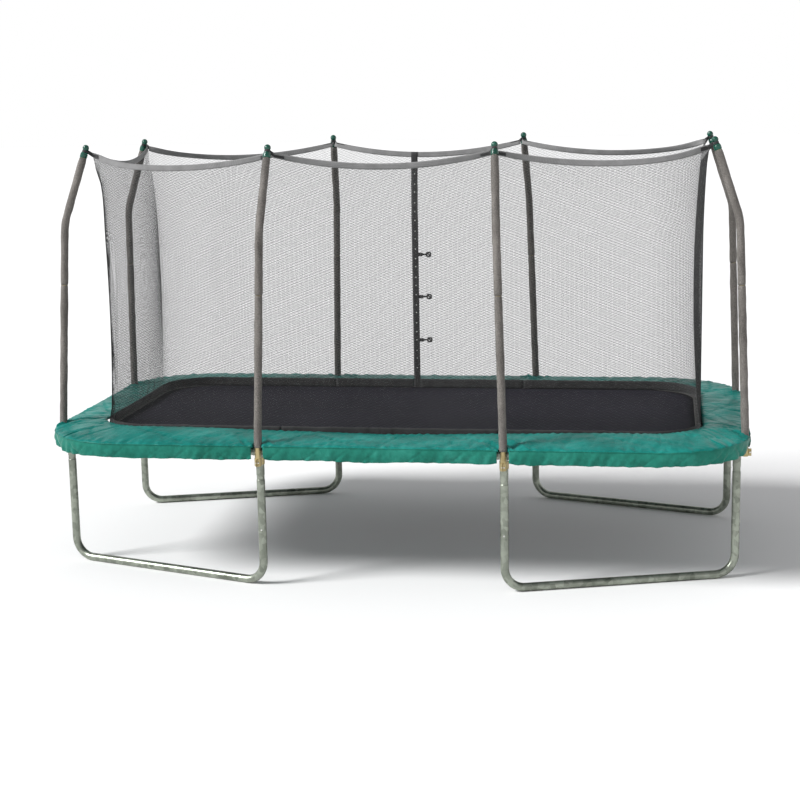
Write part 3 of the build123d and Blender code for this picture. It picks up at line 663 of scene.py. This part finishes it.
def v_ring_path():
    pts = [(0.0028, -0.0165), (0.0028, 0.0165), (0.0045, 0.0185), (0.0075, 0.0175), (0.0225, 0.0045),
           (0.0248, 0.002), (0.0248, -0.002), (0.0225, -0.0045), (0.0075, -0.0175), (0.0045, -0.0185)]
    return np.array([(x, y, 0.8715) for x, y in pts])


def build_bed():
    rings, loops = Bag(), Bag()
    for side, sts in STATIONS.items():
        bag = Bag()
        for st in sts:
            v, f = tube_mesh(spring_path(st[4]), WIRE_R, 5)
            bag.add(put(v, st), f)
            v, f = tube_mesh(v_ring_path(), 0.0019, 6, closed=True)
            rings.add(put(v, st), f)
            # webbing loop that holds the ring to the mat's border
            arc = [(-0.040, 0, 0.8752), (-0.020, 0, 0.8754), (0.000, 0, 0.8752), (0.004, 0, 0.8742),
                   (0.0058, 0, 0.8715), (0.004, 0, 0.8690), (0.000, 0, 0.8682), (-0.020, 0, 0.8680),
                   (-0.040, 0, 0.8682)]
            v, f = strip_mesh(arc, [(0, 1, 0)] * len(arc), 0.024, 0.0012)
            loops.add(put(v, st), f)
        ob = bag.make("v_springs_" + side, M["spring"])
        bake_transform(ob)
        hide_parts("springs_" + side.split("_")[0])
    ring = rings.make("v_vee_rings", M["spring"])
    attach(ring, "mat_bed")
    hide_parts("v_rings")
    loop = loops.make("v_mat_loops", M["black"])
    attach(loop, "mat_bed")
    # jumping mat: one woven sheet, very slightly dished
    nr, nu = 26, 240
    u = np.linspace(0, 12, nu, endpoint=False)
    rad = np.linspace(0, 1, nr) ** 0.8
    ex, ey = outline(MAT_X - 0.046, MAT_Y - 0.046, MAT_R - 0.046, u)
    v = [(0, 0, MAT_Z - 0.006)]
    for r in rad[1:]:
        z = MAT_Z + 0.0018 - 0.0078 * (1 - r * r)
        v.extend((x * r, y * r, z) for x, y in zip(ex, ey))
    f = [(0, 1 + k, 1 + (k + 1) % nu) for k in range(nu)]
    for i in range(nr - 2):
        a, b = 1 + i * nu, 1 + (i + 1) * nu
        f += [(a + k, b + k, b + (k + 1) % nu, a + (k + 1) % nu) for k in range(nu)]
    mat = add_mesh("v_mat", v, f, M["mat"])
    m = mat.modifiers.new("thick", "SOLIDIFY")
    m.thickness, m.offset = 0.0016, 0.0
    apply_mods(mat)
    border = Bag()
    cross = [(-0.050, 0.8722), (-0.048, 0.8740), (-0.030, 0.8745), (-0.026, 0.8741), (-0.022, 0.8745),
             (-0.003, 0.8741), (0.0, 0.8722), (0.0, 0.8705), (-0.003, 0.8693), (-0.048, 0.8693),
             (-0.050, 0.8705)]
    n2 = 420
    u = np.linspace(0, 12, n2, endpoint=False)
    ring_v = []
    for d, z in cross:
        x, y = outline(MAT_X + d, MAT_Y + d, MAT_R + d, u)
        ring_v.append(np.stack([x, y, np.full(n2, z) + 0.0004 * wob(u * 0.9, 5, 0.12)], -1))
    rv = np.stack(ring_v, 1)
    border.add(rv, grid_faces(n2, len(cross), wrap_u=True, wrap_v=True).tolist())
    edge = border.make("v_mat_border", M["border"])
    recalc(edge)
    # two rows of stitches on the border
    st = Bag()
    for d in (-0.046, -0.006):
        x, y = outline(MAT_X + d, MAT_Y + d, MAT_R + d, np.linspace(0, 12, 1500, endpoint=False))
        for i in range(0, 1500, 3):
            j = (i + 1) % 1500
            p = np.array([(x[i], y[i], 0.8745), ((x[i] + x[j]) / 2, (y[i] + y[j]) / 2, 0.8750),
                          (x[j], y[j], 0.8745)])
            st.add(*tube_mesh(p, 0.0006, 3))
    stitch = st.make("v_mat_stitches", M["hem"])
    for ob, slot in ((mat, "jump_mat"), (edge, "black_webbing"), (stitch, "black_webbing")):
        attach(ob, "mat_bed")
    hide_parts("mat")
    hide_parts("mat_webbing")


# --------------------------------------------------------------------- poles
def pole_path(leg, z0, z1=None, short=0.0, step=0.012):
    """Centre line from height z0 to height z1 on the straight foot, or to short below the cap."""
    sx, sy, kind, xy, out = leg
    foot = np.append(xy + out * POLE_OFF, KNEE_Z)
    b = SIDE_BEND if kind == "side" else END_BEND
    c = SIDE_CAP if kind == "side" else END_CAP
    bend = np.array([sx * b[0], sy * b[1], BEND_Z])
    cap = np.array([sx * c[0], sy * c[1], CAP_Z])
    u = (bend - foot) / np.linalg.norm(bend - foot)
    v = (cap - bend) / np.linalg.norm(cap - bend)
    half = math.acos(float(np.clip(u @ v, -1, 1))) / 2
    t = BEND_R * math.tan(half)
    a = bend - u * t
    side = (v - u) / np.linalg.norm(v - u)
    centre = bend + side * (BEND_R / math.cos(half))
    pts = []
    start = foot + u * ((z0 - foot[2]) / u[2])
    stop = foot + u * ((z1 - foot[2]) / u[2]) if z1 is not None else a
    n = max(int(np.linalg.norm(stop - start) / step), 2)
    pts += [start + (stop - start) * k / n for k in range(n + 1)]
    if z1 is not None:
        return np.array(pts)
    for k in range(1, 11):
        w = -half + 2 * half * k / 11 + half
        rel = a - centre
        axis = np.cross(u, v)
        axis /= np.linalg.norm(axis)
        rot = rel * math.cos(w) + np.cross(axis, rel) * math.sin(w)
        pts.append(centre + rot)
    e0, e1 = bend + v * t, cap - v * short
    n = max(int(np.linalg.norm(e1 - e0) / step), 2)
    pts += [e0 + (e1 - e0) * k / n for k in range(n + 1)]
    return np.array(pts)


def sleeve(path, seed):
    """Foam sleeve in its cover: slightly lumpy, pinched at both ends, open tube."""
    n, sides = len(path), 28
    s = np.concatenate([[0], np.cumsum(np.linalg.norm(np.diff(path, axis=0), axis=1))])
    L = s[-1]
    t, N, B = frames_along(path)
    a = np.arange(sides) * 2 * math.pi / sides
    end = np.minimum(s, L - s)
    base = 0.0242 - 0.0022 * np.exp(-end / 0.010)
    S, A = s[:, None], a[None, :]
    lump = 0.0007 * np.sin(A * 2 + wob(S, seed, 0.5) * 3) + 0.0006 * wob(S, seed + 1, 0.16)
    lump = lump + 0.0004 * np.sin(A * 5 + S * 40)
    pinch = 0.0006 * np.exp(-end / 0.03)[:, None] * np.sin(A * 9)
    seam = -0.0014 * np.exp(-((np.mod(A - 2.2 + math.pi, 2 * math.pi) - math.pi) / 0.07) ** 2)
    r = base[:, None] + lump + pinch + seam
    dirs = N[:, None, :] * np.cos(a)[None, :, None] + B[:, None, :] * np.sin(a)[None, :, None]
    out = path[:, None, :] + dirs * r[:, :, None]
    inn = path[:, None, :] + dirs * 0.0196
    v = np.concatenate([out.reshape(-1, 3), inn.reshape(-1, 3)])
    f = grid_faces(n, sides, wrap_v=True).tolist()
    m = n * sides
    f += [[q[3] + m, q[2] + m, q[1] + m, q[0] + m] for q in grid_faces(n, sides, wrap_v=True).tolist()]
    for k in range(sides):
        j = (k + 1) % sides
        f.append([j, k, m + k, m + j])
        o = (n - 1) * sides
        f.append([o + k, o + j, m + o + j, m + o + k])
    return v, f


def build_sleeves():
    lo, hi = Bag(), Bag()
    for k, leg in enumerate(LEGS):
        lo.add(*sleeve(pole_path(leg, 0.880, z1=1.798), 200 + 7 * k))
        hi.add(*sleeve(pole_path(leg, 1.8005, short=0.042), 300 + 7 * k))
    for bag, node in ((lo, "sleeve_lower"), (hi, "sleeve_upper")):
        ob = bag.make("v_" + node, M["sleeve"])
        recalc(ob)
        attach(ob, "frame")
        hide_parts(node)


# ----------------------------------------------------------------------- net
def hem_corner(cap):
    k = 1 - NET_INSET / math.hypot(*cap)
    return np.array([cap[0] * k, cap[1] * k])


HEM_SIDE, HEM_END = hem_corner(SIDE_CAP), hem_corner(END_CAP)


def net_bottom(kind, s):
    s = np.asarray(s, float)
    a, b = NET_X - NET_R, NET_Y - NET_R
    arc = NET_R * math.pi / 2
    first, last = a - SIDE_CAP[0], b - NET_SEAM_Y
    if kind == "corner":
        d = s * (first + arc + last)
        t = np.clip((d - first) / NET_R, 0, math.pi / 2)
        x = SIDE_CAP[0] + np.minimum(d, first) + NET_R * np.sin(t)
        y = b + NET_R * np.cos(t) - np.maximum(d - first - arc, 0)
        return x, y
    if kind == "side":
        return -SIDE_CAP[0] + s * 2 * SIDE_CAP[0], np.full_like(s, NET_Y)
    return np.full_like(s, NET_X), NET_SEAM_Y - s * 2 * NET_SEAM_Y


def net_width(kind):
    a, b = NET_X - NET_R, NET_Y - NET_R
    if kind == "corner":
        return a - SIDE_CAP[0] + NET_R * math.pi / 2 + b - NET_SEAM_Y
    return 2 * SIDE_CAP[0] if kind == "side" else 2 * NET_SEAM_Y


def net_top(kind, s):
    ends = {"corner": (HEM_SIDE, HEM_END), "side": (HEM_SIDE * [-1, 1], HEM_SIDE),
            "end": (HEM_END, HEM_END * [1, -1])}
    p, q = ends[kind]
    d = q - p
    length = np.linalg.norm(d)
    bow = HEM_BOW * 4 * s * (1 - s)
    return p[0] + d[0] * s + bow * d[1] / length, p[1] + d[1] * s - bow * d[0] / length


BELLY = {"end": 0.045, "side": 0.0, "corner": 0.014}    # how far a panel draws inward at mid height


def net_surface(kind, s, z, lift=0.0):
    """Point on the net at s across and height z; lift moves it outward."""
    s, z = np.broadcast_arrays(np.asarray(s, float), np.asarray(z, float))
    tau = np.clip((z - NET_BOTTOM) / (CAP_Z - NET_BOTTOM), 0, 1)
    up = np.clip((z - NET_BEND_Z) / (CAP_Z - NET_BEND_Z), 0, 1)
    w = 0.6 * up ** 1.6 + 0.4 * up ** 14
    bx, by = net_bottom(kind, s)
    tx, ty = net_top(kind, s)
    x, y = bx + (tx - bx) * w, by + (ty - by) * w
    e = 1e-3
    bx2, by2 = net_bottom(kind, s + e)
    tx2, ty2 = net_top(kind, s + e)
    dx, dy = bx2 + (tx2 - bx2) * w - x, by2 + (ty2 - by2) * w - y
    k = np.maximum(np.hypot(dx, dy), 1e-9)
    nx, ny = -dy / k, dx / k
    width = net_width(kind)
    low = np.exp(-(z - NET_BOTTOM) / 0.10)
    wave = 0.0030 * low * wob(s * width, 400, 0.16)
    belly = BELLY[kind] * 4 * s * (1 - s) * np.sin(math.pi * tau) ** 0.8
    off = lift + wave - belly
    return np.stack([x + nx * off, y + ny * off, z], -1)


def hem_z(s):
    return NET_TOP - NET_SAG * 4 * s * (1 - s)


def turned(v, flip):
    """Mirror a net shape into its quadrant; the left end also hangs a little further in."""
    v = np.asarray(v).copy()
    v[..., 0] *= flip[0]
    v[..., 1] *= flip[1]
    tau = np.clip((v[..., 2] - NET_BOTTOM) / (LEFT_TOP - NET_BOTTOM), 0, 1)
    share = np.clip((-v[..., 0] - 1.25) / 0.55, 0, 1)
    v[..., 0] += LEFT_PULL * np.sin(math.pi * tau) ** 0.4 * share * share * (3 - 2 * share)
    return v


DOOR_S = (DOOR_X + SIDE_CAP[0]) / (2 * SIDE_CAP[0])
DOOR_H = (DOOR_W / 2) / (2 * SIDE_CAP[0])
PANELS = {
    "net_front": ("side", 0, 1, (-1, -1)), "net_back_left": ("side", 0, DOOR_S - DOOR_H, (1, 1)),
    "net_back_right": ("side", DOOR_S + DOOR_H, 1, (1, 1)),
    "net_right": ("end", 0, 1, (1, 1)), "net_left": ("end", 0, 1, (-1, -1)),
    "net_corner_br": ("corner", 0, 1, (1, 1)), "net_corner_bl": ("corner", 0, 1, (-1, 1)),
    "net_corner_fr": ("corner", 0, 1, (1, -1)), "net_corner_fl": ("corner", 0, 1, (-1, -1)),
}
YARN_PITCH, YARN_R = 0.0050, 0.00042


def build_net():
    tape, length = Bag(), 0.0
    for node, (kind, s0, s1, flip) in PANELS.items():
        width = net_width(kind)
        ns = max(int(width * (s1 - s0) / 0.03), 6)
        s = np.linspace(s0, s1, ns + 1)[:, None]
        top = hem_z(s) - HEM_H + 0.004
        t = np.linspace(0, 1, 46)[None, :]
        z = NET_BOTTOM + (top - NET_BOTTOM) * t
        P = turned(net_surface(kind, s, z), flip)
        uv = np.stack([s * width + 0 * t, z], -1).reshape(-1, 2)
        sheet = add_mesh("v_" + node, P.reshape(-1, 3), grid_faces(ns + 1, 46), M["net"], uv=uv)
        # wales: the chain-stitched yarns that run up the net
        n = int(width * (s1 - s0) / YARN_PITCH)
        sy = s0 + (s1 - s0) * (np.arange(n) + 0.5) / n
        nt = 20
        ty = np.linspace(0, 1, nt)[None, :] ** 0.9
        zz = NET_BOTTOM + (hem_z(sy[:, None]) - HEM_H + 0.004 - NET_BOTTOM) * ty
        C = turned(net_surface(kind, sy[:, None], zz), flip)
        C2 = turned(net_surface(kind, sy[:, None] + 1e-3, zz), flip)
        side = C2 - C
        side /= np.linalg.norm(side, axis=-1, keepdims=True)
        nor = np.cross(side, np.array([0, 0, 1.0]))
        V = []
        for k in range(3):
            a = 2 * math.pi * k / 3
            V.append(C + YARN_R * (side * math.cos(a) + nor * math.sin(a)))
        V = np.stack(V, 2)
        one = grid_faces(nt, 3, wrap_v=True)
        F = (one[None] + (np.arange(n) * nt * 3)[:, None, None]).reshape(-1, 4)
        yarn = add_mesh("v_yarns_" + node[4:], V.reshape(-1, 3), F, M["yarn"], False)
        for ob in (sheet, yarn):
            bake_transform(ob)
        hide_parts(node)
        # closed band along the foot of the net
        sb = np.linspace(s0, s1, max(int(width * (s1 - s0) / 0.02), 4))[:, None]
        length += width * (s1 - s0)
        rise = np.linspace(0, 1, 6)[None, :]
        zb = NET_BOTTOM + FOOT_H * rise + 0.0012 * wob(sb * width, 430, 0.21) * rise
        rows = [turned(net_surface(kind, sb, zb, lift), flip) for lift in (0.0010, -0.0010)]
        band = np.concatenate([rows[0], rows[1][:, ::-1]], 1)
        m = band.shape[1]
        f = grid_faces(len(sb), m, wrap_v=True).tolist()
        f += end_caps(len(sb), m)
        tape.add(band, f)
    ob = tape.make("v_net_foot", M["black"])
    recalc(ob)
    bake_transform(ob)
    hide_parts("net_foot", "net_foot_corners")
    # hem
    hem = Bag()
    two = ((1, 1), (-1, -1))
    for kind, flips in (("side", two), ("end", two), ("corner", ((1, 1), (-1, 1), (1, -1), (-1, -1)))):
        s = np.linspace(0.004, 0.996, 60)
        zc = hem_z(s) - HEM_H / 2
        for flip in flips:
            mid = turned(net_surface(kind, s, zc), flip)
            lean = turned(net_surface(kind, s, zc + 0.01), flip) - mid
            hem.add(*strip_mesh(mid, lean, HEM_H, 0.0030))
    ob = hem.make("v_net_hem", M["hem"])
    recalc(ob)
    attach(ob, "frame")
    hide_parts("net_hem")
    build_door()


def build_door():
    """Webbing strip with the zip and stitches; it follows the net."""
    z = np.linspace(NET_BOTTOM, hem_z(DOOR_S) - 0.001, 96)
    over = np.clip((z - hem_z(DOOR_S) + HEM_H + 0.02) / 0.018, 0, 1)
    mid = net_surface("side", DOOR_S, z, 0.0)
    mid[:, 1] -= 0.0036 * over
    side = np.tile([1.0, 0, 0], (len(z), 1))
    strip = Bag()
    strip.add(*strip_mesh(mid, side, DOOR_W, 0.0034))
    zipb = Bag()
    for k in range(int((z[-1] - z[0]) / 0.006)):
        zz = z[0] + 0.004 + k * 0.006
        for sgn in (-1, 1):
            c = net_surface("side", DOOR_S, zz + 0.0015 * sgn, 0.0023)
            hx, hy, hz = 0.0024, 0.0010, 0.0011
            v = [(c[0] + sgn * 0.0012 + a * hx, c[1] + b * hy, c[2] + d * hz)
                 for a in (-1, 1) for b in (-1, 1) for d in (-1, 1)]
            zipb.add(v, [(0, 1, 3, 2), (4, 6, 7, 5), (0, 4, 5, 1), (2, 3, 7, 6), (0, 2, 6, 4), (1, 5, 7, 3)])
    st = Bag()
    for off in (-0.015, 0.015):
        for k in range(int((z[-1] - z[0]) / 0.008)):
            zz = z[0] + 0.004 + k * 0.008 + np.array([0, 0.0022, 0.0044])
            for lift in (0.0018, -0.0018):
                p = net_surface("side", DOOR_S, zz, lift)
                p[:, 0] += off
                st.add(*tube_mesh(p, 0.0006, 3))
    snaps = Bag()
    for k in range(22):
        c = net_surface("side", DOOR_S, 1.02 + 0.066 * k + 0.006 * math.sin(2.4 * k), -0.0019)
        rings = [(0.0042, 0.0), (0.0040, 0.0010), (0.0022, 0.0019)]
        a = np.arange(10) * 2 * math.pi / 10
        v = [(c[0] + 0.002 + r * math.cos(x), c[1] - h, c[2] + r * math.sin(x)) for r, h in rings for x in a]
        f = grid_faces(3, 10, wrap_v=True).tolist() + [list(range(20, 30)), list(range(10))[::-1]]
        snaps.add(v, f)
    parts = ((snaps.make("v_door_snaps", M["zinc"]), "zinc_fastener"),
             (strip.make("v_door_strip", M["black"]), "black_webbing"),
             (zipb.make("v_zip_teeth", M["plastic"], False), "black_plastic"),
             (st.make("v_door_stitches", M["hem"]), "grey_hem"))
    for ob, slot in parts:
        recalc(ob)
        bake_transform(ob)
    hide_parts("door_strip")
    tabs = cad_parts["clip_tabs"]
    tabs.data.materials.clear()
    tabs.data.materials.append(M["black"])


def build_clips():
    """Door clips: an eye on the pin, a bar and a squarish ring hook."""
    for k, z in enumerate(CLIP_Z):
        x0, y0 = DOOR_X + 0.044, NET_Y + 0.0115
        bag = Bag()
        eye = [(0.0030, -0.008), (0.0078, -0.008), (0.0088, -0.0055), (0.0088, 0.0055), (0.0078, 0.008),
               (0.0030, 0.008)]
        a = np.arange(24) * 2 * math.pi / 24
        v = [(x0 + r * math.cos(t), y0 + r * math.sin(t), z + h) for r, h in eye for t in a]
        f = grid_faces(len(eye), 24, wrap_v=True).tolist()
        last = (len(eye) - 1) * 24
        f += [[last + i, last + (i + 1) % 24, (i + 1) % 24, i] for i in range(24)]
        bag.add(v, f)
        bar = [(x0 + 0.007, y0, z), (x0 + 0.014, y0, z), (x0 + 0.024, y0, z + 0.0006), (x0 + 0.035, y0, z)]
        bag.add(*strip_mesh(bar, [(0, 0, 1)] * 4, 0.0110, 0.0068))
        ring = []
        for i in range(32):
            t = 2 * math.pi * i / 32
            q = 0.0138 / (abs(math.cos(t)) ** 5 + abs(math.sin(t)) ** 5) ** 0.2
            ring.append((x0 + 0.050 + q * math.cos(t), y0, z + q * math.sin(t)))
        v, f = tube_mesh(ring, 0.0058, 8, closed=True)
        bag.add(v, f)
        gate = [(x0 + 0.040, y0, z + 0.010), (x0 + 0.050, y0 + 0.0008, z + 0.002),
                (x0 + 0.060, y0, z - 0.009)]
        v, f = tube_mesh(gate, 0.0050, 8)
        bag.add(v, f)
        ob = bag.make("v_clip_%d" % (k + 1), M["plastic"])
        recalc(ob)
        ob.data.set_sharp_from_angle(angle=math.radians(40))
        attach(ob, "clip_" + "abc"[k])
        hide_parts("clip_%d" % (k + 1))


def build_straps():
    """Webbing looped round each cap's neck, with a tail sewn along the hem on both sides."""
    bag = Bag()
    for leg in LEGS:
        sx, sy, kind = leg[0], leg[1], leg[2]
        c = SIDE_CAP if kind == "side" else END_CAP
        b = SIDE_BEND if kind == "side" else END_BEND
        cap = np.array([sx * c[0], sy * c[1], CAP_Z])
        v = cap - np.array([sx * b[0], sy * b[1], BEND_Z])
        v /= np.linalg.norm(v)
        hc = HEM_SIDE if kind == "side" else HEM_END
        flat = np.array([sx * hc[0], sy * hc[1], CAP_Z]) - cap
        flat -= v * (flat @ v)
        flat /= np.linalg.norm(flat)
        cross = np.cross(v, flat)
        neck = cap + v * 0.003
        ring = []
        for k in range(25):
            a = math.radians(14 + 332 * k / 24)
            ring.append(neck + 0.0162 * (flat * math.cos(a) + cross * math.sin(a)))
        bag.add(*strip_mesh(ring, [v] * len(ring), 0.016, 0.0024))
        if kind == "side":
            picks = (("side", 1 - 0.5 * TAIL / HEM_SIDE[0], -1), ("corner", TAIL / net_width("corner"), 1))
        else:
            picks = (("corner", 1 - TAIL / net_width("corner"), -1), ("end", 0.5 * TAIL / HEM_END[1], 1))
        for panel, s_end, turn in picks:
            s_root = 0.992 if turn < 0 else 0.008
            ss = np.linspace(s_root, s_end, 9)
            on_hem = net_surface(panel, ss, hem_z(ss) - HEM_H * 0.45, 0.0036)
            on_hem = turned(on_hem, (sx, sy))
            p0 = neck + 0.0162 * flat
            path = np.concatenate([[p0, p0 + flat * 0.007], on_hem[1:]])
            w = np.clip(np.arange(len(path)) / 3.0, 0, 1)[:, None]
            side = v[None, :] * (1 - w) + np.array([0, 0, 1.0])[None, :] * w
            bag.add(*strip_mesh(path, side, 0.024, 0.0022))
    ob = bag.make("v_cap_straps", M["black"])
    recalc(ob)
    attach(ob, "frame")
    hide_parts("cap_straps")


# --------------------------------------------------------------- studio
def studio():
    me = bpy.data.meshes.new("floor")
    s = FLOOR_HALF
    me.from_pydata([(-s, -s, 0), (s, -s, 0), (s, s, 0), (-s, s, 0)], [], [(0, 1, 2, 3)])
    floor = bpy.data.objects.new("floor", me)
    COL.objects.link(floor)
    m = Mat("floor", (0.86, 0.86, 0.86), 0.95, 0.0, 0.0)
    me.materials.append(m.m)
    # world: white round the horizon, dimmer overhead
    w = bpy.data.worlds.new("world")
    w.use_nodes = True
    t = w.node_tree
    back = t.nodes["Background"]
    back.inputs[1].default_value = 1.0
    co = t.nodes.new("ShaderNodeTexCoord")
    xyz = t.nodes.new("ShaderNodeSeparateXYZ")
    ramp = t.nodes.new("ShaderNodeValToRGB")
    e = ramp.color_ramp.elements
    e[0].position, e[0].color = 0.34, (1, 1, 1, 1)
    e[1].position, e[1].color = 0.52, (0.36, 0.36, 0.37, 1)
    t.links.new(co.outputs["Generated"], xyz.inputs[0])
    t.links.new(xyz.outputs["Z"], ramp.inputs["Fac"])
    t.links.new(ramp.outputs["Color"], back.inputs[0])
    bpy.context.scene.world = w
    d = bpy.data.lights.new("key", "SUN")
    d.energy, d.angle = 4.1, math.radians(20)
    key = bpy.data.objects.new("key", d)
    key.rotation_euler = (Vector((8.0, 4.4, -7.0))).to_track_quat("-Z", "Y").to_euler()
    COL.objects.link(key)


bpy.context.scene.view_settings.view_transform = "Standard"
set_camera()
studio()
build_pad()
build_skirt()
build_bed()
build_sleeves()
build_net()
build_straps()
build_clips()
